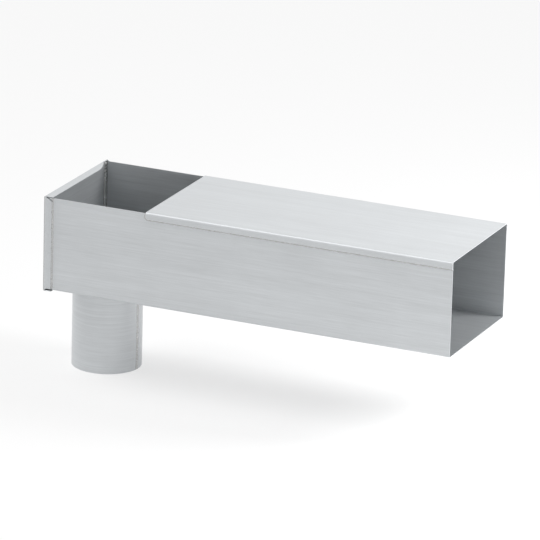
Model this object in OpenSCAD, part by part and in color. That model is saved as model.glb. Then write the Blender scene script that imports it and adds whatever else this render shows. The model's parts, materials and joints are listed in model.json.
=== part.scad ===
// Eave box of folded and soldered sheet metal.
// A long trough takes rain water at its open mouth, under a cover, and leads it to a round
// outlet pipe under its closed end, where the top stays open.
// The origin is the centre of the pipe's lower rim. +X runs along the trough to its mouth.

/* [Trough] */
// Length from the outside of the end cap to the open mouth
box_l = 615; // [400:5:1000]
// Width across the outside of the two walls
box_w = 195; // [135:1:300]
// Height from the underside to the top of the walls
box_h = 135; // [80:1:200]
// Thickness of all the sheet metal
sheet_t = 1; // [0.6:0.1:1.5]
// Inner radius of the folds of the trough and of the end cap
fold_r = 2; // [1:0.5:3]

/* [End cap] */
// Width of the flanges lapped over the outside of the walls and of the bottom
cap_lap = 13; // [9:1:25]
// Width of the flange turned inward over the open top
cap_top_lap = 15; // [8:1:30]
// Drop of the slanted upper end of each side flange, over its width
cap_slant = 6.5; // [2:0.5:12]
// Size of the rounded relief at the lower end of each side flange
cap_relief = 3.5; // [1:0.5:5]
// Length of the curve that narrows the top flange towards the back wall
runout_l = 40; // [20:1:60]
// Length of the narrow rear end of the top flange
runout_end_l = 14; // [4:1:30]
// Flat width that is left at the narrow rear end of the top flange
runout_flat = 0.5; // [0.5:0.5:4]

/* [Cover] */
// Length of the open top, from the outside of the end cap to the edge of the cover
open_l = 157; // [110:1:300]
// Height of the lips folded down outside the walls
cover_lip = 10; // [7:0.5:25]
// Inner radius of the folds of the cover
cover_fold_r = 2.5; // [1:0.5:4]
// Radius of the rounded lower corner of each lip
cover_corner_r = 3; // [1:0.5:5]

/* [Outlet] */
// Outside diameter of the outlet pipe, to suit the downpipe
outlet_d = 100; // [60:1:110]
// Length of the pipe below the underside of the trough
outlet_l = 130; // [60:1:200]
// Flat strip between the fold of the end cap and the pipe
outlet_edge = 1.5; // [1:0.5:60]
// Extra radius of the hole in the end cap's flange, which lets a downpipe up to the trough
lap_hole_gap = 0.5; // [0.4:0.1:0.9]
// Width of the collar that lies on the inside of the bottom
collar_w = 5; // [4:0.5:8]
// Inner radius where the pipe is beaten out into its collar
collar_fold_r = 1.5; // [1:0.25:2]
// Overlap of the lap seam along the pipe
seam_lap = 10; // [6:1:20]
// Length round the pipe over which the lapped edge steps inward
seam_step = 3; // [2:0.5:6]
// Width of the bottom of the groove beside the outer edge of the seam
seam_groove = 0.6; // [0.4:0.1:1.5]
// Direction of the seam, in degrees from the direction of the mouth
seam_angle = -4; // [-60:1:60]

/* [Solder and fit] */
// Gap between parts that are soldered together, at their nearest
fit_gap = 0.05; // [0.02:0.01:0.2]
// Gap between the trimmed collar and the end plate
trim_gap = 0.3; // [0.2:0.1:0.6]
// Reach of the solder over the sheet beside the lapped flanges and lips
edge_solder = 1.5; // [1:0.5:3]
// How far that solder climbs up the cut edge of the flange or lip
edge_rise = 0.5; // [0.3:0.1:0.6]
// Leg of the solder seam inside the end cap
inner_solder_leg = 3; // [2:0.5:4]
// Reach of the solder round the edge of the collar
collar_solder_leg = 1.5; // [1:0.5:3]
// Length left bare at the mouth end of the solder under the lips
solder_end = 2; // [1:1:20]

/* [Hidden] */
$fn = 96;
zinc = [0.6, 0.62, 0.635];
solder = [0.49, 0.495, 0.495];
// Overshoot of the cutting shapes
cut = 1;
// Steps of the curve that narrows the top flange
runout_steps = 16;
// How far the ends of the seam's step run into the sheet
step_tuck = 0.1;

// A square edge that sits inside a fold of inner radius r leaves this gap along both sheets
function seat(r) = r * (1 - 1 / sqrt(2)) + fit_gap;

// A point at radius r and angle a
function polar(r, a) = [r * cos(a), r * sin(a)];

// The angle, in degrees, of a length along the pipe's outside
function along_pipe(length) = length / outlet_r * 180 / PI;

outlet_r = outlet_d / 2;
outlet_bore_r = outlet_r - sheet_t;
fold_o = fold_r + sheet_t;
cover_fold_o = cover_fold_r + sheet_t;
cap_seat = seat(fold_r);
cover_seat = seat(cover_fold_r);
collar_seat = seat(collar_fold_r);

// The pipe's hole in the trough's bottom, and the wider one in the flange lapped under it
hole_r = outlet_r + collar_seat;
lap_hole_r = hole_r + lap_hole_gap;
collar_r = outlet_r + collar_w;

// Stations along the box
x_end = -(outlet_r + outlet_edge + fold_o);
x_plate = x_end + sheet_t;
x_trough = x_plate + cap_seat;
x_mouth = x_end + box_l;
x_cover = x_end + open_l;
x_lap = x_end + cap_lap;

// Levels
z_under = outlet_l;
z_floor = z_under + sheet_t;
z_wall_top = z_under + box_h;
z_cover_top = z_wall_top + cover_seat + sheet_t;
z_lip = z_cover_top - cover_lip;

// Outer size of the end cap and of the cover
cap_w = box_w + 2 * (cap_seat + sheet_t);
cap_h = box_h + 2 * (cap_seat + sheet_t);
cap_mid_z = z_under + box_h / 2;
cover_w = box_w + 2 * (cover_seat + sheet_t);

// Helpers

// Extrudes an outline drawn in Y and Z along +X
module along_x(length) {
    rotate([90, 0, 90]) linear_extrude(length) children();
}

// Extrudes an outline drawn in X and Z along Y, half to each side
module along_y(length) {
    rotate([90, 0, 0]) linear_extrude(length, center = true) children();
}

// A rectangle that stands on the first axis, with its two lower corners rounded
module round_bottomed(w, h, r) {
    translate([-w / 2, r]) square([w, h - r]);
    translate([-w / 2 + r, 0]) square([w - 2 * r, r]);
    for (side = [-1, 1]) translate([side * (w / 2 - r), r]) circle(r);
}

// A channel folded from one sheet, open at the top of the second axis
module channel_outline(w, h, r) {
    difference() {
        round_bottomed(w, h, r + sheet_t);
        translate([0, sheet_t]) round_bottomed(w - 2 * sheet_t, h, r);
    }
}

// A fold with its flange: the plate comes down the second axis, turns through the fold
// and leaves along the first axis until it is reach from the plate's outer face
module fold_profile(r, reach) {
    r_out = r + sheet_t;
    intersection() {
        translate([r_out, r_out]) difference() {
            circle(r_out);
            circle(r);
        }
        square(r_out);
    }
    translate([r_out, 0]) square([reach - r_out, sheet_t]);
}

// A right-angled fillet, tall along the second axis and reaching along the first
module fillet_profile(reach, tall) {
    polygon([[0, 0], [reach, 0], [0, tall]]);
}

// Part of a ring between two radii, from angle a to angle b, less than half a turn
module ring_sector(r_in, r_out, a, b) {
    far = 2 * r_out;
    intersection() {
        difference() {
            circle(r_out);
            circle(r_in);
        }
        polygon([[0, 0], polar(far, a), polar(far, (a + b) / 2), polar(far, b)]);
    }
}

// Trough

// A hole that the pipe passes through
module pipe_hole(r) {
    translate([0, 0, z_under - box_h / 2]) cylinder(h = box_h, r = r);
}

module trough() {
    color(zinc) difference() {
        translate([x_trough, 0, z_under]) along_x(x_mouth - x_trough)
            channel_outline(box_w, box_h, fold_r);
        pipe_hole(hole_r);
    }
}

// End cap

// One flange of the end cap with its fold, mitred at both ends against its neighbours.
// It lies along Y, its outer face is at Z = 0, and children() outline it in X and Y.
module cap_flange(length, reach) {
    half = length / 2;
    intersection() {
        along_y(length) fold_profile(fold_r, reach);
        along_x(reach) polygon([
            [-half, 0], [half, 0], [half - fold_o, fold_o], [-half + fold_o, fold_o]
        ]);
        linear_extrude(fold_o) children();
    }
}

module plain_tab(length, reach) {
    translate([0, -length / 2]) square([reach, length]);
}

// Outline of a side flange: slanted at its upper end, relieved at its lower end.
// upper is 1 or -1, the end of the outline that points up.
module side_tab(upper) {
    half = cap_h / 2;
    difference() {
        scale([1, upper]) polygon([
            [0, -half], [cap_lap, -half], [cap_lap, half - cap_slant], [fold_o, half], [0, half]
        ]);
        translate([fold_o + cap_relief, -upper * half]) {
            circle(cap_relief);
            translate([0, -cap_relief]) square([cap_lap, 2 * cap_relief]);
        }
    }
}

// Outline of the top flange: square at the front, narrowed by one long curve at the back
module top_tab() {
    half = cap_w / 2;
    narrow = fold_o + runout_flat;
    curve_start = -half + runout_end_l + runout_l;
    polygon(concat(
        [[0, -half], [0, half], [cap_top_lap, half]],
        [for (i = [0:runout_steps]) let (k = i / runout_steps) [
            narrow + (cap_top_lap - narrow) * cos(90 * k),
            curve_start - runout_l * k
        ]],
        [[narrow, -half]]
    ));
}

module end_cap() {
    inset_w = cap_w - 2 * fold_o;
    inset_h = cap_h - 2 * fold_o;
    color(zinc) difference() {
        translate([x_end, 0, cap_mid_z]) {
            translate([0, -inset_w / 2, -inset_h / 2]) cube([sheet_t, inset_w, inset_h]);
            translate([0, 0, -cap_h / 2]) cap_flange(cap_w, cap_lap) plain_tab(cap_w, cap_lap);
            translate([0, -cap_w / 2, 0]) rotate([-90, 0, 0])
                cap_flange(cap_h, cap_lap) side_tab(-1);
            translate([0, cap_w / 2, 0]) rotate([90, 0, 0])
                cap_flange(cap_h, cap_lap) side_tab(1);
            translate([0, 0, cap_h / 2]) rotate([180, 0, 0])
                cap_flange(cap_w, cap_top_lap) top_tab();
        }
        pipe_hole(lap_hole_r);
    }
}

// Cover

// Cuts the lower corner of both lips round, at the edge that lies over the open top
module lip_corner_cut() {
    along_y(cover_w + cut) difference() {
        translate([-cut, -cut]) square(cover_corner_r + cut);
        translate([cover_corner_r, cover_corner_r]) circle(cover_corner_r);
    }
}

module cover() {
    color(zinc) difference() {
        translate([x_cover, 0, z_cover_top]) along_x(x_mouth - x_cover)
            mirror([0, 1]) channel_outline(cover_w, cover_lip, cover_fold_r);
        translate([x_cover, 0, z_lip]) lip_corner_cut();
    }
}

// Outlet pipe

// Angles round the pipe: the outer edge of the lap, the two ends of the step, the tail
edge_a = seam_angle;
step_low_a = edge_a - along_pipe(seam_groove);
step_high_a = step_low_a - along_pipe(seam_step);
tail_a = edge_a + along_pipe(seam_lap);
tail_out_r = outlet_bore_r - fit_gap;
tail_in_r = tail_out_r - sheet_t;

// The step that takes the sheet from the pipe's wall to the inside of it. Both its ends run
// into the sheet that they continue, and its faces lie within the faces of that sheet.
module seam_step_outline() {
    high_a = step_high_a - along_pipe(step_tuck);
    low_a = step_low_a + along_pipe(step_tuck);
    polygon([
        polar(outlet_r - fit_gap, high_a), polar(tail_out_r - fit_gap, low_a),
        polar(tail_in_r + fit_gap, low_a), polar(outlet_bore_r + fit_gap, high_a)
    ]);
}

// The pipe in section: one sheet rolled round, its inner edge stepped in behind its outer edge
module pipe_outline() {
    difference() {
        circle(outlet_r);
        circle(outlet_bore_r);
        ring_sector(outlet_bore_r - cut, outlet_r + cut, step_high_a, edge_a);
    }
    seam_step_outline();
    ring_sector(tail_in_r, tail_out_r, step_low_a, tail_a);
}

// The upper end: beaten out through the hole into a collar
module collar_section() {
    translate([outlet_r - sheet_t, 0]) intersection() {
        translate([sheet_t + collar_fold_r, 0]) difference() {
            circle(collar_fold_r + sheet_t);
            circle(collar_fold_r);
        }
        square(collar_fold_r + sheet_t);
    }
    translate([outlet_r + collar_fold_r, collar_fold_r])
        square([collar_w - collar_fold_r, sheet_t]);
}

z_collar = z_floor + collar_seat;
z_bell = z_collar - collar_fold_r;

// What the collar loses where it is trimmed to the end plate
module collar_trim() {
    reach = outlet_r + collar_w;
    translate([x_plate + trim_gap - reach, -reach, z_floor]) cube([reach, 2 * reach, box_h / 2]);
}

module outlet_pipe() {
    color(zinc) {
        linear_extrude(z_bell) pipe_outline();
        difference() {
            translate([0, 0, z_bell]) rotate_extrude() collar_section();
            collar_trim();
        }
    }
}

// Solder

// The space inside the closed end: the flat of the end plate, and from there the trough
module inside_end(length) {
    flat_w = cap_w - 2 * fold_o;
    flat_low = z_under - cap_seat + fold_r;
    flat_high = z_wall_top + cap_seat - fold_r;
    translate([x_plate, -flat_w / 2, flat_low]) cube([cap_seat, flat_w, flat_high - flat_low]);
    translate([x_trough - fit_gap, 0, z_floor]) along_x(length)
        round_bottomed(box_w - 2 * sheet_t, flat_high - z_floor, fold_r);
}

// Where the trimmed collar lies
module collar_space() {
    difference() {
        translate([0, 0, z_floor]) cylinder(h = collar_seat + sheet_t, r = collar_r);
        collar_trim();
    }
}

// The seam round the inside of the end plate, with the ring that seals the collar's edge
module inner_solder() {
    inner_w = box_w - 2 * sheet_t;
    color(solder) difference() {
        intersection() {
            union() {
                translate([x_plate, 0, z_floor]) along_y(inner_w)
                    fillet_profile(inner_solder_leg, inner_solder_leg);
                for (side = [0, 1]) mirror([0, side, 0])
                    translate([x_plate, -inner_w / 2, z_floor]) linear_extrude(box_h - sheet_t)
                        fillet_profile(inner_solder_leg, inner_solder_leg);
                translate([0, 0, z_floor]) rotate_extrude() translate([collar_r, 0])
                    fillet_profile(collar_solder_leg, collar_seat + sheet_t);
            }
            inside_end(2 * collar_r + 2 * inner_solder_leg);
        }
        collar_space();
    }
}

// The filling of the groove beside the seam's outer edge
module pipe_seam_solder() {
    groove_r = tail_out_r / cos((edge_a - step_low_a) / 2);
    color(solder) linear_extrude(z_bell) polygon([
        polar(outlet_r, step_high_a), polar(outlet_r, edge_a),
        polar(groove_r, edge_a), polar(groove_r, step_low_a)
    ]);
}

// Solder along the free edge of the front flange of the end cap
module cap_side_solder() {
    low = z_under + fold_o;
    high = z_under + box_h + cap_seat + sheet_t - cap_slant;
    translate([x_lap, -box_w / 2, low]) linear_extrude(high - low)
        mirror([0, 1]) fillet_profile(edge_solder, cap_seat + edge_rise);
}

module cap_solder_front() {
    color(solder) cap_side_solder();
}

module cap_solder_back() {
    color(solder) mirror([0, 1, 0]) cap_side_solder();
}

// Solder along the free edge of the bottom flange, up to its hole on each side of the pipe
module cap_solder_bottom() {
    color(solder) difference() {
        translate([x_lap, 0, z_under]) along_y(box_w - 2 * fold_o)
            mirror([0, 1]) fillet_profile(edge_solder, cap_seat + edge_rise);
        pipe_hole(lap_hole_r);
    }
}

// Solder along the front lip of the cover: under it, round its rounded corner and up its end
module lip_solder() {
    climb = cover_seat + edge_rise;
    corner_x = x_cover + cover_corner_r;
    corner_z = z_lip + cover_corner_r;
    corner_reach = cover_corner_r + edge_solder;
    straight_end = z_cover_top - cover_fold_o - corner_z;
    translate([corner_x, -box_w / 2, z_lip]) along_x(x_mouth - solder_end - corner_x)
        rotate(180) fillet_profile(climb, edge_solder);
    translate([corner_x, -box_w / 2, corner_z]) rotate([90, 0, 0]) intersection() {
        rotate_extrude() translate([cover_corner_r, 0]) fillet_profile(edge_solder, climb);
        translate([-corner_reach, -corner_reach, 0]) cube([corner_reach, corner_reach, climb]);
    }
    if (straight_end > 0) translate([x_cover, -box_w / 2, corner_z]) linear_extrude(straight_end)
        rotate(180) fillet_profile(edge_solder, climb);
}

module cover_solder_front() {
    color(solder) lip_solder();
}

module cover_solder_back() {
    color(solder) mirror([0, 1, 0]) lip_solder();
}

trough();
end_cap();
cover();
outlet_pipe();
inner_solder();
pipe_seam_solder();
cap_solder_front();
cap_solder_back();
cap_solder_bottom();
cover_solder_front();
cover_solder_back();
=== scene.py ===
# %% [markdown]
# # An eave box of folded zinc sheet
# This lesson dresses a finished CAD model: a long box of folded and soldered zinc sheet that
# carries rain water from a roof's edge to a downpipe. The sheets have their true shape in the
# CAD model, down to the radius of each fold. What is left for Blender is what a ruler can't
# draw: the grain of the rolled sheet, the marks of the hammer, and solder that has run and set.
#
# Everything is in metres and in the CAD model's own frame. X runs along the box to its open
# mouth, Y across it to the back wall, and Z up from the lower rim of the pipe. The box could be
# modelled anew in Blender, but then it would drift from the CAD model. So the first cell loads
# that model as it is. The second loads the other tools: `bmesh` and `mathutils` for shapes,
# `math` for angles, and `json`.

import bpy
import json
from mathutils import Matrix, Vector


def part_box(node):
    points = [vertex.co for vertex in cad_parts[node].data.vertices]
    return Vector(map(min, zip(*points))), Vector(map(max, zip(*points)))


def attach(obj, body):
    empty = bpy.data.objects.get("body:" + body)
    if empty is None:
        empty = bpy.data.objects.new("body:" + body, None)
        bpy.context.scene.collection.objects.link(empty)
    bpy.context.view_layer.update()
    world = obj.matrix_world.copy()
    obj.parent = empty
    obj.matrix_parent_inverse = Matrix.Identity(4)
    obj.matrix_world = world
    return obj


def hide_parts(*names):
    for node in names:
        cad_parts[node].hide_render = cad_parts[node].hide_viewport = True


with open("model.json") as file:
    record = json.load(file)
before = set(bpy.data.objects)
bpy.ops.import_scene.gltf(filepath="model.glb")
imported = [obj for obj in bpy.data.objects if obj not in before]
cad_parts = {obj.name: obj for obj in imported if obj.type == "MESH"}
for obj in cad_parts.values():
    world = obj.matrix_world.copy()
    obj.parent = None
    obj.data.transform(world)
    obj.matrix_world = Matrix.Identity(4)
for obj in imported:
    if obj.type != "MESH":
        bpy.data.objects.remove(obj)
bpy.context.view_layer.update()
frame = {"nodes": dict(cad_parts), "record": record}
print("CAD nodes:", ", ".join(sorted(frame["nodes"])))

# %% Other tools
import json
import math

import bmesh
import bpy
from mathutils import Matrix, Vector, noise

print("Blender", bpy.app.version_string)

# %% [markdown]
# ## Measures
# Solder and finish follow the edges of the sheets. The places of these edges could be typed in
# from a drawing, but then they would be wrong as soon as the CAD model changed. So they are
# read from the boxes round the CAD nodes, here for the sheets and further down for each seam.
# Only the thickness of the sheet and a few small radii are typed in, because no box gives them.

# %% The sheets
MM = 0.001
SHEET = 1 * MM

trough_low, trough_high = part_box("trough")
cap_low, cap_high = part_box("end_cap")
cover_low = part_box("cover")[0]
plate_x = cap_low.x + SHEET
floor_z = trough_low.z + SHEET
wall_y = trough_high.y
inner_y = wall_y - SHEET
print(f"length {(trough_high.x - cap_low.x) / MM:.0f} mm, width {2 * wall_y / MM:.0f} mm")

# %% [markdown]
# ## Camera
# The box is seen from its front, from a little above and from the side of its mouth. Parallel
# edges hardly draw together, which is the mark of a long lens far away. A camera could be
# dragged about until the edges fit. Three angles say it more clearly: how far the camera has
# gone round the box, how high it has risen, and how much it leans over. Its line of sight
# passes just beside the middle of the box.

# %% Where the camera stands
CAMERA_TURN = math.radians(23.67)
CAMERA_RISE = math.radians(18.14)
CAMERA_LEAN = math.radians(1.59)
CAMERA_DISTANCE = 7.590
BOX_MIDDLE = Vector((0.2535, 0, 0.1975))
AIM_RIGHT = -4.9 * MM
AIM_UP = -18.0 * MM

away = Vector((
    math.sin(CAMERA_TURN) * math.cos(CAMERA_RISE),
    -math.cos(CAMERA_TURN) * math.cos(CAMERA_RISE),
    math.sin(CAMERA_RISE),
))
level = Vector((math.cos(CAMERA_TURN), math.sin(CAMERA_TURN), 0))
right = Matrix.Rotation(CAMERA_LEAN, 3, away) @ level
up = away.cross(right)
eye = BOX_MIDDLE + away * CAMERA_DISTANCE
aim = BOX_MIDDLE + right * AIM_RIGHT + up * AIM_UP
print("camera at", [round(part, 3) for part in eye])

# %% Camera
CAMERA_LENS = 364.67
SENSOR_WIDTH = 36

backward = (eye - aim).normalized()
sideways = (right - backward * right.dot(backward)).normalized()
upright = backward.cross(sideways)
turned = Matrix((sideways, upright, backward)).transposed().to_4x4()
camera = bpy.data.objects.new("camera", bpy.data.cameras.new("camera"))
camera.data.sensor_width = SENSOR_WIDTH
camera.data.lens = CAMERA_LENS
camera.matrix_world = Matrix.Translation(eye) @ turned
bpy.context.scene.collection.objects.link(camera)
bpy.context.scene.camera = camera
print(f"lens {CAMERA_LENS:.0f} mm")

# %% [markdown]
# ## Sums between sockets
# A finish is worked out from noise and from the place on the box. In the node editor that takes
# dozens of Math nodes, and nobody can read what they add up to. A formula can be read. So a
# `Wire` stands for one output socket, and each sign between wires adds the Math node for it.
# `swing` is for noise, which lies between 0 and 1: it gives what the noise adds or takes away
# round its middle.

# %% Wires
class Wire:
    """An output socket. The signs + - * ** and abs() add Math nodes behind it."""

    def __init__(self, graph, socket):
        self.graph = graph
        self.socket = socket

    def math(self, operation, *values):
        return self.graph.add("ShaderNodeMath", {"operation": operation}, dict(enumerate(values)))

    def __add__(self, other):
        return self.math("ADD", self, other)

    def __radd__(self, other):
        return self.math("ADD", other, self)

    def __sub__(self, other):
        return self.math("SUBTRACT", self, other)

    def __rsub__(self, other):
        return self.math("SUBTRACT", other, self)

    def __mul__(self, other):
        return self.math("MULTIPLY", self, other)

    def __rmul__(self, other):
        return self.math("MULTIPLY", other, self)

    def __pow__(self, other):
        return self.math("POWER", self, other)

    def __rpow__(self, other):
        return self.math("POWER", other, self)

    def __abs__(self):
        return self.math("ABSOLUTE", self)

    def at_least(self, other):
        return self.math("MAXIMUM", self, other)

    def at_most(self, other):
        return self.math("MINIMUM", self, other)

    def swing(self, amount):
        return (self - 0.5) * amount


def hypotenuse(a, b):
    """The long side over two sides that meet at a right angle."""
    return (a * a + b * b) ** 0.5


print("3 and 4 make", hypotenuse(3, 4))

# %% [markdown]
# ## Nodes
# All other nodes come from one method, `add`. It takes the type of a node, its settings and its
# sockets. A socket is given a wire, which is linked to it, or a plain value. The nodes that
# every finish needs have a short method of their own.

# %% Graphs
def find(sockets, key):
    """A socket by its number, its identifier or its name."""
    if isinstance(key, int):
        return sockets[key]
    return next((socket for socket in sockets if socket.identifier == key), None) or sockets[key]


class Graph:
    """The nodes of a material or of the sky."""

    def __init__(self, tree):
        self.nodes = tree.nodes
        self.links = tree.links
        self.nodes.clear()

    def add(self, kind, settings=None, sockets=None, out=0):
        node = self.nodes.new(kind)
        for key, value in (settings or {}).items():
            setattr(node, key, value)
        for key, value in (sockets or {}).items():
            if isinstance(value, Wire):
                self.links.new(value.socket, find(node.inputs, key))
            else:
                find(node.inputs, key).default_value = value
        return Wire(self, find(node.outputs, out)) if len(node.outputs) else None

    def noise(self, place, cells, detail, rough):
        """Smooth noise from 0 to 1, with that many cells in a metre."""
        sockets = {"Vector": place, "Scale": cells, "Detail": detail, "Roughness": rough}
        return self.add("ShaderNodeTexNoise", None, sockets, "Fac")

    def ramp(self, value, low, high):
        """0 at low and 1 at high, with an easy curve between."""
        sockets = {"Value": value, "From Min": low, "From Max": high}
        return self.add("ShaderNodeMapRange", {"interpolation_type": "SMOOTHSTEP"}, sockets)

    def mix(self, share, first, second):
        """The first colour where share is 0, and the second where it is 1."""
        sockets = {"Factor_Float": share, "A_Color": first, "B_Color": second}
        return self.add("ShaderNodeMix", {"data_type": "RGBA"}, sockets, "Result_Color")

    def stretch(self, place, factors):
        """A place with each coordinate times its factor."""
        return self.add("ShaderNodeVectorMath", {"operation": "MULTIPLY"}, {0: place, 1: factors})

    def split(self, place):
        """The three coordinates of a place."""
        return [self.add("ShaderNodeSeparateXYZ", None, {"Vector": place}, axis) for axis in "XYZ"]

    def bump(self, height):
        """The normal of a surface that is raised by a height in metres."""
        return self.add("ShaderNodeBump", None, {"Distance": 1.0, "Height": height}, "Normal")


print("short methods:", [name for name in vars(Graph) if not name.startswith("_")])

# %% Start and end of a material
def new_finish(name):
    """An empty material and its graph."""
    material = bpy.data.materials.new(name)
    material.use_nodes = True
    return material, Graph(material.node_tree)


def show(graph, **sockets):
    """Ends a material: the shader with these sockets, and the output."""
    named = {key.replace("_", " "): value for key, value in sockets.items()}
    shader = graph.add("ShaderNodeBsdfPrincipled", None, named)
    graph.add("ShaderNodeOutputMaterial", None, {"Surface": shader})


print("materials so far:", len(bpy.data.materials))

# %% [markdown]
# ## Floor
# The ground in the picture is white paper. More light would whiten it, but then the pale metal
# would burn out and lose its planes. So the floor is two things at once: chalk, which catches
# the light and the shadow of the box, and paper that glows at white and no more. The glow is
# mixed in only for rays that look, those of the camera and those of a reflection. A ray that
# carries light from the floor to the box meets plain chalk.

# %% Rays that look
LOOKING_RAYS = ("Is Camera Ray", "Is Glossy Ray", "Is Transmission Ray")


def looked_at(graph):
    """1 for rays of the camera, of a reflection or through glass, 0 for light on its way."""
    straight_on, mirrored, through = (graph.add("ShaderNodeLightPath", out=ray) for ray in LOOKING_RAYS)
    return straight_on.at_least(mirrored).at_least(through)


print("rays that look:", ", ".join(LOOKING_RAYS))

# %% Finish of the floor
CHALK = (0.9, 0.9, 0.9, 1)
WHITE = (1, 1, 1, 1)
FLOOR_GLOW = 0.65

floor_finish, graph = new_finish("pale_floor")
chalk = graph.add("ShaderNodeBsdfDiffuse", None, {"Color": CHALK})
paper = graph.add("ShaderNodeEmission", None, {"Color": WHITE, "Strength": 1.0})
glow_share = looked_at(graph) * FLOOR_GLOW
ground = graph.add("ShaderNodeMixShader", None, {0: glow_share, 1: chalk, 2: paper})
graph.add("ShaderNodeOutputMaterial", None, {"Surface": ground})
print(f"share of the glow {FLOOR_GLOW}")

# %% Floor
HALF_FLOOR = 40

corners = [(x * HALF_FLOOR, y * HALF_FLOOR, 0) for x, y in ((-1, -1), (1, -1), (1, 1), (-1, 1))]
floor_mesh = bpy.data.meshes.new("floor")
floor_mesh.from_pydata(corners, [], [(0, 1, 2, 3)])
floor_mesh.materials.append(floor_finish)
floor = bpy.data.objects.new("floor", floor_mesh)
bpy.context.scene.collection.objects.link(floor)
print(f"floor {2 * HALF_FLOOR} m wide")

# %% [markdown]
# ## Sky
# Light from all round keeps shadows soft, as in a photographer's tent of white cloth. A picture
# of a studio could be wrapped round the scene, but satin metal blurs what it reflects, so a
# plain sky is enough. As a lamp it is weak, to leave room for the lamps that part the planes.
# Like the floor, it is white to the rays that look.

# %% Sky
SKY_AS_LAMP = 0.38

sky = bpy.data.worlds.new("sky")
sky.use_nodes = True
bpy.context.scene.world = sky
graph = Graph(sky.node_tree)
strength = SKY_AS_LAMP + looked_at(graph) * (1 - SKY_AS_LAMP)
glow = graph.add("ShaderNodeBackground", None, {"Color": WHITE, "Strength": strength})
graph.add("ShaderNodeOutputWorld", None, {"Surface": glow})
print("the sky lights at", SKY_AS_LAMP)

# %% [markdown]
# ## Lamps
# Under the sky alone, all planes of the box have nearly the same tone. A sun above the end cap
# makes the cover brighter than the front wall. It is as wide as a large sheet of cloth before a
# lamp, so its shadows are soft. At full strength it would burn a white streak into every fold.
# So most of it is hidden from reflections, and a weaker sun in the same place is left to put a
# gentle sheen on the folds. A small lamp to the right of the mouth, and a little behind the
# line of the back wall, shines into the box. It lights the bottom and leaves the back wall in
# the shade, or else the fold between them would be lost.

# %% Hanging a lamp
def hang_lamp(name, kind, place, aim_at, power, **settings):
    """A lamp that looks from its place at a point."""
    lamp = bpy.data.lights.new(name, kind)
    lamp.energy = power
    for key, value in settings.items():
        setattr(lamp, key, value)
    holder = bpy.data.objects.new(name, lamp)
    holder.location = place
    holder.rotation_mode = "QUATERNION"
    holder.rotation_quaternion = (Vector(place) - aim_at).to_track_quat("Z", "Y")
    bpy.context.scene.collection.objects.link(holder)
    print(f"{name} with power {power}")
    return holder


# %% Lamps
SUN_PLACE = (-0.5, -0.3, 1.4)
SUN_WIDTH = math.radians(45)
SUN_POWER = 1.4
SHEEN_POWER = 0.5
MOUTH_LAMP_PLACE = (1.25, 0.32, 0.75)
MOUTH_LAMP_WIDTH = 0.4
MOUTH_LAMP_POWER = 16

sun = hang_lamp("sun", "SUN", SUN_PLACE, BOX_MIDDLE, SUN_POWER, angle=SUN_WIDTH)
sun.visible_glossy = False
hang_lamp("sheen", "SUN", SUN_PLACE, BOX_MIDDLE, SHEEN_POWER, angle=SUN_WIDTH)
mouth_foot = Vector((trough_high.x, 0, floor_z))
mouth_lamp = hang_lamp("mouth_lamp", "AREA", MOUTH_LAMP_PLACE, mouth_foot, MOUTH_LAMP_POWER,
                       shape="SQUARE", size=MOUTH_LAMP_WIDTH)
mouth_lamp.visible_glossy = False
bpy.context.scene.view_settings.view_transform = "Standard"

# %% [markdown]
# ## How far it is to the solder
# Solder changes the zinc beside it. It wets a thin margin with a ragged edge, and round that the
# hot iron leaves the skin a little dull. Such margins could be painted on an unfolded sheet, but
# every change of the box would need a new painting. Here each point works out from its own
# coordinates how far it is from the nearest seam, and the margins follow from that distance.
# Where a face has no seam, a ramp adds up to a whole metre, which puts the seam out of reach.

# %% Seams on the outside
LIP_RADIUS = 3 * MM
flange_low, flange_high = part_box("cap_solder_front")
lip_low, lip_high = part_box("cover_solder_front")
bead_reach = flange_high.x - flange_low.x


def past_lip(x, z):
    """How far a point of a long side is outside the outline of the cover's lip."""
    left = (cover_low.x + LIP_RADIUS - x).at_least(0)
    under = (cover_low.z + LIP_RADIUS - z).at_least(0)
    return hypotenuse(left, under) - LIP_RADIUS


def outside_seams(x, z):
    """How far a point of the trough's outside is from the solder there."""
    flange = abs(x - (flange_low.x + flange_high.x) / 2) - bead_reach / 2
    return flange.at_most(past_lip(x, z) - bead_reach)


print(f"solder reaches {bead_reach / MM:.1f} mm over the sheet beside a lapped edge")

# %% Seams on the inside
SEAM_LEG = 3 * MM
COLLAR_BEAD = 1.5 * MM
ABOVE_COLLAR = (2 * MM, 6 * MM)  # heights above the bottom
pipe_low, pipe_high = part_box("outlet_pipe")
collar_r = pipe_high.x


def inside_seams(graph, x, y, z):
    """How far a point of the trough's inside is from the solder there."""
    from_plate = x - plate_x - SEAM_LEG
    from_ring = hypotenuse(x, y) - collar_r - COLLAR_BEAD
    on_wall = graph.ramp(z, *(floor_z + height for height in ABOVE_COLLAR))
    return from_plate.at_most(abs(from_ring + on_wall))


print(f"the seam inside is {SEAM_LEG / MM:.0f} mm high, the radius of the collar {collar_r / MM:.0f} mm")

# %% [markdown]
# ## Seams of each sheet
# The trough has seams on both its faces, and the two faces lie only a sheet's thickness apart.
# Each face could have a material of its own, but a CAD node has only one slot. What parts the
# faces is the depth of a point in the sheet: a ramp over the middle fifth of the thickness is 0
# for the inner face and 1 for the outer one. The end cap and the cover lap over the trough, so
# the solder meets them only at their cut edge, and their margin is narrower. On the pipe, whose
# own seam runs up its side, the distance is an angle times the radius.

# %% Trough
MIDDLE_FIFTH = (0.4 * SHEET, 0.6 * SHEET)


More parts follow.
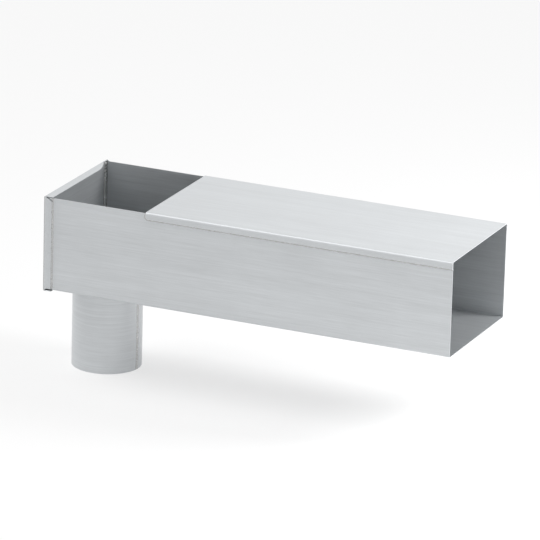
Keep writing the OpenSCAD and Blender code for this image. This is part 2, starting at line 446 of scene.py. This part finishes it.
def trough_seams(graph, x, y, z):
    on_outer_wall = graph.ramp(abs(y) - inner_y, *MIDDLE_FIFTH)
    on_underside = graph.ramp(floor_z - z, *MIDDLE_FIFTH)
    outside = on_outer_wall.at_least(on_underside)
    return outside_seams(x, z) * outside + inside_seams(graph, x, y, z) * (1 - outside)


print("the middle fifth of the sheet lies at", [round(depth / MM, 1) for depth in MIDDLE_FIFTH], "mm")

# %% End cap
FOLD_RADIUS = 2 * MM
NARROWER = 0.9 * MM
TOP_FLANGE = (4 * MM, 3 * MM)  # depths below the top of the end cap


def cap_seams(graph, x, y, z):
    corner = abs(abs(y) - inner_y).at_most(abs(z - floor_z))
    inside = (corner - SEAM_LEG).at_least(0)
    weather_side = graph.ramp(plate_x - x, *MIDDLE_FIFTH)
    on_flange = graph.ramp(x, plate_x + FOLD_RADIUS / 2, plate_x + FOLD_RADIUS)
    on_top = graph.ramp(z, *(cap_high.z - depth for depth in TOP_FLANGE))
    cut_edge = flange_low.x - x + NARROWER + on_top
    return cut_edge * on_flange + (inside + weather_side) * (1 - on_flange)


print(f"the flange ends {(flange_low.x - cap_low.x) / MM:.0f} mm from the outside of the end cap")

# %% Cover
def cover_seams(graph, x, y, z):
    above_lip = graph.ramp(z, lip_high.z, lip_high.z + SHEET)
    return NARROWER - past_lip(x, z) + above_lip


print(f"the cover starts {(cover_low.x - cap_low.x) / MM:.0f} mm from the outside of the end cap")

# %% Pipe
spigot = next(mount for mount in frame["record"]["mounts"] if mount["name"] == "outlet_spigot")
pipe_r = spigot["dims"]["r_mm"] * MM
groove_low, groove_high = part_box("pipe_seam_solder")
groove_start = math.asin(groove_low.y / pipe_r)
groove_edge = -math.acos(groove_high.x / pipe_r)


def direction(x, y):
    """The angle round the pipe's axis, from the direction of the mouth."""
    return y.math("ARCTAN2", y, x)


def pipe_seams(graph, x, y, z):
    below_collar = graph.ramp(z, floor_z, floor_z - SHEET)
    collar = collar_r - hypotenuse(x, y) + below_collar
    beside_middle = abs(direction(x, y) - (groove_start + groove_edge) / 2)
    groove = beside_middle - (groove_edge - groove_start) / 2
    return collar.at_most(groove * pipe_r)


print(f"the pipe's seam is at {math.degrees(groove_edge):.1f} degrees, its radius {pipe_r / MM:.0f} mm")

# %% [markdown]
# ## Rolled zinc
# New zinc sheet is a pale grey metal with a satin skin. The rollers leave a fine grain along the
# strip, in bands of slightly different gloss. An image could hold all this, but it would have to
# be unfolded with the sheet and would blur close up. Noise has any detail, and a grain comes
# from noise that is stretched along the strip, so that its cells are long and thin. Plain noise
# in large cells adds the faint clouds of a sheet that was handled.

# %% Grain, bands and clouds
GRAIN_CELLS = 1600
BAND_CELLS = 420
BROAD_CELLS = 70
CLOUD_CELLS = 13


def rolled(graph, place, along):
    """The noises of a rolled sheet. along is 1 across the strip and small along it."""
    strip = graph.stretch(place, along)
    grain = graph.noise(strip, GRAIN_CELLS, detail=3, rough=0.6)
    bands = graph.noise(strip, BAND_CELLS, detail=2, rough=0.55)
    clouds = graph.noise(place, CLOUD_CELLS, detail=3, rough=0.5)
    broad = graph.noise(strip, BROAD_CELLS, detail=2, rough=0.5)
    return grain, bands, clouds, broad


print(f"grain of {1 / GRAIN_CELLS / MM:.2f} mm, clouds of {1 / CLOUD_CELLS / MM:.0f} mm")

# %% Marks of the solder
RAGGED = 1.8 * MM
RAGGED_CELLS = 160
MARGIN = 1.1 * MM
MARGIN_FULL = 0.6 * MARGIN
DULLED = 14 * MM


def solder_marks(graph, place, clouds, distance):
    """The margin that the solder has wetted, and the skin that the iron has dulled."""
    tatters = graph.noise(place, RAGGED_CELLS, detail=2, rough=0.6)
    wetted = graph.ramp(distance + tatters.swing(RAGGED), MARGIN, MARGIN_FULL)
    dulled = graph.ramp(distance + clouds.swing(DULLED), DULLED, 0)
    return wetted, dulled


print(f"margin {MARGIN / MM:.1f} mm, dulled for {DULLED / MM:.0f} mm")

# %% [markdown]
# ## Colour and gloss of the zinc
# The bands of a rolled sheet differ a little in shade and a little more in gloss, so the same
# noises feed both. No large sheet is truly flat, and its slow waves show only in what it
# reflects: they are a height, and so are the bands, the grain and the step at the edge of the
# wetted margin. The skin isn't wholly metal: zinc dulls within days under a thin pale film, and
# a share of plain colour stands for that film. A lower metal share looks like paint, and a
# higher one makes the inside of the box nearly black.

# %% Measures of the finish
METAL_SHARE = 0.7
DARKEST = 0.84
PALEST = 1.12
DULL_SHADE = 0.93
TINNED = (0.47, 0.475, 0.475, 1)
SHADE_SWINGS = (0.9, 0.8, 0.4, 0.4)  # by the grain, the bands, the clouds and the broad bands
SATIN = 0.36
GLOSS_SWINGS = (0.16, 0.20, 0.10)  # by the grain, the bands and the clouds
DULLER = 0.08
TINNED_GLOSS = 0.22
WAVE_CELLS = 8
WAVE_HEIGHT = 1.8 * MM
BAND_HEIGHT = 0.014 * MM
GRAIN_HEIGHT = 0.0025 * MM
MARGIN_HEIGHT = 0.04 * MM


def tint(colour, strength):
    """A colour made darker or paler."""
    return (*[part * strength for part in colour], 1)


def swings(noises, amounts):
    """What several noises add or take away together."""
    return sum(one.swing(amount) for one, amount in zip(noises, amounts))


print("shades between", DARKEST, "and", PALEST, "of the colour")

# %% [markdown]
# ## Cut edges and hammer marks
# Two marks of the work belong to single sheets. Where a sheet was cut, its edge is bare bright
# metal, a little rougher than the rolled skin. The cut edges of the trough and of the cover
# face along the box, which their normal tells. And the collar of the pipe was beaten out with a
# hammer, which leaves small round dents. A dent for each blow could be modelled, but they are
# shallow, and the cells of a smooth Voronoi texture have just that look.

# %% Cut edges and dents
EDGE_FACING = (0.8, 0.95)
EDGE_SHADE = 1.08
EDGE_ROUGHER = 0.08
DENT_CELLS = 240
DENT_HEIGHT = 0.3 * MM


def cut_edges(graph):
    """1 on the edges that face along the box."""
    facing = graph.add("ShaderNodeTexCoord", out="Normal")
    return graph.ramp(abs(graph.split(facing)[0]), *EDGE_FACING)


def dents(graph, place, z):
    """The height of the hammer's marks, from the top of the pipe's straight part upwards."""
    sockets = {"Vector": place, "Scale": DENT_CELLS, "Smoothness": 0.6}
    cells = graph.add("ShaderNodeTexVoronoi", {"feature": "SMOOTH_F1"}, sockets, "Distance")
    return cells * graph.ramp(z, floor_z - SHEET, floor_z) * DENT_HEIGHT


print(f"dents of {1 / DENT_CELLS / MM:.0f} mm")

# %% Zinc
def zinc(name, colour, along, seams, edges_face_x=False, beaten=False):
    """The finish of one sheet. seams tells how far each point is from the solder."""
    material, graph = new_finish(name)
    place = graph.add("ShaderNodeTexCoord", out="Object")
    x, y, z = graph.split(place)
    noises = rolled(graph, place, along)
    grain, bands, clouds = noises[:3]
    wetted, dulled = solder_marks(graph, place, clouds, seams(graph, x, y, z))

    skin = graph.mix(0.5 + swings(noises, SHADE_SWINGS), tint(colour, DARKEST), tint(colour, PALEST))
    skin = graph.mix(dulled * 0.5, skin, tint(colour, DULL_SHADE))
    skin = graph.mix(wetted, skin, TINNED)
    rough = SATIN + swings(noises, GLOSS_SWINGS) + dulled * DULLER
    rough = rough * (1 - wetted) + wetted * TINNED_GLOSS
    waves = graph.noise(place, WAVE_CELLS, detail=1, rough=0.3)
    height = waves * WAVE_HEIGHT + bands * BAND_HEIGHT + grain * GRAIN_HEIGHT + wetted * MARGIN_HEIGHT
    if edges_face_x:
        edge = cut_edges(graph)
        skin = graph.mix(edge, skin, tint(colour, EDGE_SHADE))
        rough = rough + edge * EDGE_ROUGHER
    if beaten:
        height = height + dents(graph, place, z)
    show(graph, Base_Color=skin, Metallic=METAL_SHARE, Roughness=rough, Normal=graph.bump(height))
    print(f"{name}: {len(material.node_tree.nodes)} nodes")
    return material


# %% [markdown]
# ## Dressing the sheets
# Each sheet has its own finish, because the sheets were cut from the strip in different ways.
# On the trough and the cover the grain runs along the box. On the end cap, cut from a piece
# left over, it runs across. The pipe was rolled with the grain round it. The cover's zinc is
# painted a touch paler than the rest, a painted highlight for the full light it lies in. A mesh
# could be copied and dressed apart, but a CAD node keeps its mesh, so only the material in its
# slot is exchanged.

# %% Four sheets
ZINC = (0.60, 0.62, 0.635)
# The cover's zinc is a touch paler than the rest: a painted highlight for the full light on the cover.
COVER_ZINC_PAINTED_PALER = (0.61, 0.63, 0.645)
LONG = 0.02

dressed = {
    "trough": zinc("trough_zinc", ZINC, (LONG, 1, 1), trough_seams, edges_face_x=True),
    "end_cap": zinc("cap_zinc", ZINC, (1, LONG, 1), cap_seams),
    "cover": zinc("cover_zinc", COVER_ZINC_PAINTED_PALER, (LONG, 1, 1), cover_seams, edges_face_x=True),
    "outlet_pipe": zinc("pipe_zinc", ZINC, (LONG, LONG, 1), pipe_seams, beaten=True),
}

# %% [markdown]
# ## Solder
# Solder is tin and lead, a soft grey metal. Beside bright zinc it looks a little darker, and it
# is smoother, because it was liquid. It sets behind the iron from one side to the other, which
# leaves faint ripples, and it cools in patches of different shade. The ripples could be cut
# into the mesh, but on a bead as thin as a matchstick two noises are enough.

# %% Finish of the solder
DARK_TIN = (0.42, 0.425, 0.425, 1)
PALE_TIN = (0.56, 0.565, 0.56, 1)
TIN_SWING = 1.2
TIN_GLOSS = 0.26
TIN_GLOSS_SWINGS = (0.2, 0.1)  # by the patches and the ripples
PATCH_CELLS = 60
RIPPLE_CELLS = 420
RIPPLE_HEIGHT = 0.09 * MM

solder, graph = new_finish("solder")
place = graph.add("ShaderNodeTexCoord", out="Object")
patches = graph.noise(place, PATCH_CELLS, detail=2, rough=0.5)
ripples = graph.noise(place, RIPPLE_CELLS, detail=2, rough=0.5)
skin = graph.mix(0.5 + patches.swing(TIN_SWING), DARK_TIN, PALE_TIN)
rough = TIN_GLOSS + swings((patches, ripples), TIN_GLOSS_SWINGS)
show(graph, Base_Color=skin, Metallic=METAL_SHARE, Roughness=rough,
     Normal=graph.bump(ripples * RIPPLE_HEIGHT))
print("solder:", len(solder.node_tree.nodes), "nodes")

# %% Materials into the slots
for node, sheet in frame["nodes"].items():
    for slot in sheet.material_slots:
        slot.material = dressed.get(node, solder)
print("zinc on", len(dressed), "nodes, solder on", len(frame["nodes"]) - len(dressed))

# %% [markdown]
# ## Beads
# In the CAD model each seam is a straight wedge, as a draughtsman would draw it. Real solder
# lies in the corner as a hollow fillet that swells and thins a little along its way and fades
# out at its ends. A curve with a bevel gives a round bead, but not one that is hollow and meets
# both sheets. So a bead is lofted from rings: each ring is a hollow curve from one sheet to the
# other, closed in the corner behind it. Two legs give its size, one along each sheet.

# %% Rings
CURVE_STEPS = 6
TUCK = 0.15 * MM


def ring(corner, leg_a, leg_b, hollow):
    """A hollow curve from the end of one leg to the end of the other, closed in the corner."""
    steps = [i / CURVE_STEPS for i in range(CURVE_STEPS + 1)]
    curve = [corner + leg_a * (1 - t) ** hollow + leg_b * t ** hollow for t in steps]
    return curve + [corner - leg_a.normalized() * TUCK - leg_b.normalized() * TUCK]


print("points in a ring:", CURVE_STEPS + 2)

# %% [markdown]
# ## Strands
# A strand is a bead in the making: a row of stations in a corner, each of which becomes a ring.
# The size of the rings could be drawn at random, but then the bead would be jagged. Solder
# flows, so its size follows smooth waves of noise along the way: a slow wave for the first leg,
# another for the second, and a quick one for both. Each wave reads its own row of the noise,
# and each strand has its own seed, so no two beads are alike.

# %% Lengths
def lengths_along(stations):
    """How far each station is from the first, halfway between the corner and the first leg's end."""
    lengths = [0.0]
    for before, after in zip(stations, stations[1:]):
        at_corner = after[0] - before[0]
        at_end = at_corner + after[1] - before[1]
        lengths.append(lengths[-1] + (at_corner.length + at_end.length) / 2)
    return lengths


one_step = [(Vector((x, 0, 0)), Vector((0, 0, 0))) for x in (0, 1)]
print("two stations a metre apart:", lengths_along(one_step))

# %% Strands
FADE = 4 * MM
THIN_END = 0.35
MEAN_LEG = 0.90
WAVES = ((16 * MM, 0.5), (4.5 * MM, 7.5), (12 * MM, 13.5))  # length and row: slow, quick, other
SWELL_A = (0.12, 0.05)  # of the first leg, by the slow and the quick wave
SWELL_B = (0.10, 0.04)  # of the second leg, by the other and the quick wave
HOLLOW = (1.35, 0.15)  # the mean, and the swing by the slow wave


def strand(stations, seed):
    """Rings along a corner. A station is the corner and its two legs."""
    lengths = lengths_along(stations)
    rings = []
    for (corner, leg_a, leg_b), s in zip(stations, lengths):
        end = min(1, min(s, lengths[-1] - s) / FADE)
        fade = THIN_END + (1 - THIN_END) * math.sqrt(1 - (1 - end) ** 2)
        slow, quick, other = (noise.noise((s / wave, seed, row)) for wave, row in WAVES)
        swell_a = fade * (MEAN_LEG + SWELL_A[0] * slow + SWELL_A[1] * quick)
        swell_b = fade * (MEAN_LEG + SWELL_B[0] * other + SWELL_B[1] * quick)
        rings.append(ring(corner, leg_a * swell_a, leg_b * swell_b, HOLLOW[0] + HOLLOW[1] * slow))
    return rings


print(f"a bead fades over its last {FADE / MM:.0f} mm")

# %% Pieces of solder
SMOOTH_ANGLE = math.radians(45)


def loft(work, rings):
    """Skins a row of rings and closes both its ends."""
    rows = [[work.verts.new(point) for point in points] for points in rings]
    for before, after in zip(rows, rows[1:]):
        for i in range(len(before)):
            work.faces.new((before[i - 1], before[i], after[i], after[i - 1]))
    work.faces.new(rows[0])
    work.faces.new(rows[-1])


def bead(name, strands, node):
    """A piece of solder that stands for a CAD node."""
    mesh = bpy.data.meshes.new(name)
    work = bmesh.new()
    for rings in strands:
        loft(work, rings)
    bmesh.ops.recalc_face_normals(work, faces=work.faces)
    for face in work.faces:
        face.smooth = True
    work.to_mesh(mesh)
    work.free()
    mesh.set_sharp_from_angle(angle=SMOOTH_ANGLE)
    mesh.materials.append(solder)
    piece = bpy.data.objects.new(name, mesh)
    bpy.context.scene.collection.objects.link(piece)
    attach(piece, "root")
    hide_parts(node)
    print(f"{name}: {len(mesh.polygons)} faces")


# %% [markdown]
# ## Beads along the lapped edges
# The side flanges of the end cap and the lips of the cover lie over the outside of the trough.
# Each has a bead along its cut edge, with one leg on the trough and the other a little way up
# the edge. A flange ends in a straight line, so its bead is a row of equal stations. A lip
# begins where the open top ends, and its lower corner there is rounded. So its bead starts down
# the end of the lip, turns with the corner and runs on under the lip to the mouth. Each bead
# could have a function of its own, but only the stations differ, and `strand` does the rest.

# %% Straight seams
BEAD_STEP = 1.5 * MM
FEWEST_STEPS = 4


def straight(start, end, leg_a, leg_b):
    """Stations from start to end with the same legs all along."""
    count = max(FEWEST_STEPS, round((end - start).length / BEAD_STEP))
    return [(start.lerp(end, i / count), leg_a, leg_b) for i in range(count + 1)]


def side_flange(side):
    """Stations up the edge of a side flange."""
    foot = Vector((bead_reach, 0, 0))
    climb = Vector((0, side * (flange_high.y - flange_low.y), 0))
    low_end, high_end = (Vector((flange_low.x, side * wall_y, z)) for z in (flange_low.z, flange_high.z))
    return straight(low_end, high_end, foot, climb)


print("stations on a side flange:", len(side_flange(1)))

# %% The way round a lip
CORNER_STEPS = 8


def round_lip(side):
    """Stations down the end of a lip, round its corner and along under it to the mouth."""
    wall = side * wall_y
    climb = Vector((0, side * (lip_high.y - lip_low.y), 0))
    centre = Vector((cover_low.x + LIP_RADIUS, wall, cover_low.z + LIP_RADIUS))
    end_top, end_foot = (Vector((cover_low.x, wall, z)) for z in (lip_high.z, centre.z))
    stations = straight(end_top, end_foot, Vector((-bead_reach, 0, 0)), climb)
    for i in range(1, CORNER_STEPS):
        turn = math.pi / 2 * i / CORNER_STEPS
        outward = Vector((-math.cos(turn), 0, -math.sin(turn)))
        stations.append((centre + outward * LIP_RADIUS, outward * bead_reach, climb))
    under = [Vector((x, wall, cover_low.z)) for x in (centre.x, lip_high.x)]
    return stations + straight(*under, Vector((0, 0, -bead_reach)), climb)


print("stations round a lip:", len(round_lip(1)))

# %% Beads on both sides
FLANGE_SEED = 3
LIP_SEED = 9

for side, word in ((-1, "front"), (1, "back")):
    bead(f"flange_bead_{word}", [strand(side_flange(side), FLANGE_SEED + side)], f"cap_solder_{word}")
    bead(f"lip_bead_{word}", [strand(round_lip(side), LIP_SEED + side)], f"cover_solder_{word}")

# %% [markdown]
# ## Bead under the box
# The third flange of the end cap laps under the bottom of the trough. The pipe goes through a
# hole in it, and the hole breaks the flange's edge in two. One strand right across could hide
# its middle in the pipe, but no piece should cut through another. So this seam is two strands,
# each from a little beside the hole to the side of the box.

# %% Bead under the box
HOLE_INSIDE_COLLAR = 4 * MM
HOLE_MARGIN = 2 * MM
UNDER_SEED = 20

under_low, under_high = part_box("cap_solder_bottom")
hole_r = collar_r - HOLE_INSIDE_COLLAR
hole_y = math.sqrt(hole_r ** 2 - under_high.x ** 2) + HOLE_MARGIN
foot = Vector((bead_reach, 0, 0))
climb = Vector((0, 0, under_low.z - under_high.z))
halves = []
for i, side in enumerate((-1, 1)):
    inner_end, outer_end = (Vector((under_low.x, side * y, under_high.z)) for y in (hole_y, under_high.y))
    halves.append(strand(straight(inner_end, outer_end, foot, climb), UNDER_SEED + i))
bead("flange_bead_bottom", halves, "cap_solder_bottom")

# %% [markdown]
# ## Seam inside the end plate
# This is the seam that keeps the water in. It runs down one wall, across the bottom and up the
# other wall. Three straight strands would overlap in the corners. The iron went round in one
# go, so the seam is one strand, and in a lower corner its stations turn with the fold. The
# collar of the pipe is trimmed close to the end plate, and there the seam climbs over the
# collar's edge and gets thinner.

# %% Over the collar
CLIMB_START = 2 * MM
CLIMB_LENGTH = 3 * MM
collar_height = pipe_high.z - floor_z
trimmed_y = math.sqrt(collar_r ** 2 - pipe_low.x ** 2)


def over_collar(y):
    """0 beside the pipe's collar and 1 where the seam climbs over it."""
    t = min(1, max(0, (trimmed_y + CLIMB_START - abs(y)) / CLIMB_LENGTH))
    return t * t * (3 - 2 * t)


print(f"the collar is {collar_height / MM:.1f} mm high and trimmed over {2 * trimmed_y / MM:.0f} mm")

# %% Through a lower corner
ROUND_OFF = 0.8 * MM
CORNER_FILL = 0.25 * MM
x_leg = Vector((SEAM_LEG, 0, 0))


def seam_corner(side, t):
    """The turn at the foot of a wall: t goes from 0 on the wall to 1 on the bottom."""
    turn = t * math.pi / 2
    centre_y, centre_z = inner_y - SEAM_LEG, floor_z + SEAM_LEG
    out_r = SEAM_LEG - CORNER_FILL * math.sin(2 * turn)
    out_y = side * (centre_y + out_r * math.cos(turn))
    out_z = centre_z - out_r * math.sin(turn)
    in_y = side * (centre_y - ROUND_OFF + ROUND_OFF * math.cos(turn))
    in_z = centre_z + ROUND_OFF - ROUND_OFF * math.sin(turn)
    return Vector((plate_x, out_y, out_z)), Vector((0, in_y - out_y, in_z - out_z)), x_leg


print("stations in a corner:", CORNER_STEPS - 1)

# %% The whole seam
THINNER_ON_COLLAR = 0.45
seam_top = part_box("inner_solder")[1].z


def seam_half(side):
    """Stations from the top of one wall to the middle of the bottom."""
    top = Vector((plate_x, side * inner_y, seam_top))
    foot = Vector((plate_x, side * inner_y, floor_z + SEAM_LEG + ROUND_OFF))
    stations = straight(top, foot, Vector((0, -side * SEAM_LEG, 0)), x_leg)
    stations += [seam_corner(side, i / CORNER_STEPS) for i in range(1, CORNER_STEPS)]
    start_y = inner_y - SEAM_LEG - ROUND_OFF
    count = round(start_y / BEAD_STEP)
    for i in range(count + 1):
        y = start_y * (1 - i / count)
        lift = over_collar(y)
        corner = Vector((plate_x, side * y, floor_z + lift * collar_height))
        stations.append((corner, Vector((0, 0, SEAM_LEG)), x_leg * (1 - THINNER_ON_COLLAR * lift)))
    return stations


whole_seam = seam_half(-1) + seam_half(1)[-2::-1]
print("stations of the whole seam:", len(whole_seam))

# %% [markdown]
# ## Ring round the collar
# The pipe is held and sealed by a ring of solder round the edge of its collar, on the bottom of
# the trough. The ring starts and ends at the end plate, where it runs into the seam there. A
# torus would be quicker, but it would cut through the plate and the collar. The stations of a
# strand can simply stop short of the plate.

# %% Ring round the collar
PLATE_CLEAR = 0.6 * MM
SEAM_SEED = 31
RING_SEED = 37

end_turn = math.acos((plate_x + PLATE_CLEAR) / (collar_r + COLLAR_BEAD))
count = round(2 * end_turn * collar_r / BEAD_STEP)
up_edge = Vector((0, 0, collar_height))
collar_ring = []
for i in range(count + 1):
    turn = end_turn * (2 * i / count - 1)
    outward = Vector((math.cos(turn), math.sin(turn), 0))
    corner = outward * collar_r + Vector((0, 0, floor_z))
    collar_ring.append((corner, outward * COLLAR_BEAD, up_edge))
bead("inner_seam_bead", [strand(whole_seam, SEAM_SEED), strand(collar_ring, RING_SEED)], "inner_solder")

# %% [markdown]
# ## Solder in the pipe's own seam
# The pipe is one sheet rolled round. One edge is stepped in behind the other, and the groove
# beside the outer edge is filled with solder and wiped flat with the iron. A plain prism fills
# the groove too, but it looks like a ruled stripe. So the fill is lofted up the pipe: its face
# is a little hollow, and both its margins wander over the sheet.

# %% Section of the fill
SWAY_WAVE = 11 * MM
SWAY_ROW = 2.5
START_OVER = (0.35 * MM, 0.35 * MM, 41)
EDGE_OVER = (0.45 * MM, 0.35 * MM, 43)
FACE_HOLLOW = (0.10 * MM, 0.06 * MM, 47)
FACE_STEPS = 8
PROUD = 0.04 * MM
SUNK = 0.15 * MM
GROOVE_FLOOR = 0.6 * MM
groove_r = groove_high.y / math.sin(groove_edge)


def swayed(measure, z):
    """A measure given as its mean, its sway and the seed of its noise, at a height."""
    mean, sway, seed = measure
    return mean + sway * noise.noise((z / SWAY_WAVE, seed, SWAY_ROW))


def on_pipe(turn, radius, z):
    return Vector((radius * math.cos(turn), radius * math.sin(turn), z))


def wiped_ring(z):
    """One ring of the fill: its face over the groove, and the groove behind it."""
    start = groove_start - swayed(START_OVER, z) / pipe_r
    edge = groove_edge + swayed(EDGE_OVER, z) / pipe_r
    hollow = swayed(FACE_HOLLOW, z)
    steps = [i / FACE_STEPS for i in range(FACE_STEPS + 1)]
    face = [on_pipe(start + (edge - start) * t, pipe_r + PROUD - hollow * math.sin(math.pi * t), z)
            for t in steps]
    floor_start = groove_edge - GROOVE_FLOOR / pipe_r
    behind = [(edge, pipe_r - SUNK), (groove_edge, groove_r), (floor_start, groove_r), (start, pipe_r - SUNK)]
    return face + [on_pipe(turn, radius, z) for turn, radius in behind]


print(f"the groove is {(pipe_r - groove_r) / MM:.1f} mm deep")

# %% Fill of the pipe's seam
count = round(groove_high.z / BEAD_STEP)
fill = [wiped_ring(groove_high.z * i / count) for i in range(count + 1)]
bead("pipe_seam_bead", [fill], "pipe_seam_solder")

# %% [markdown]
# ## Sizes
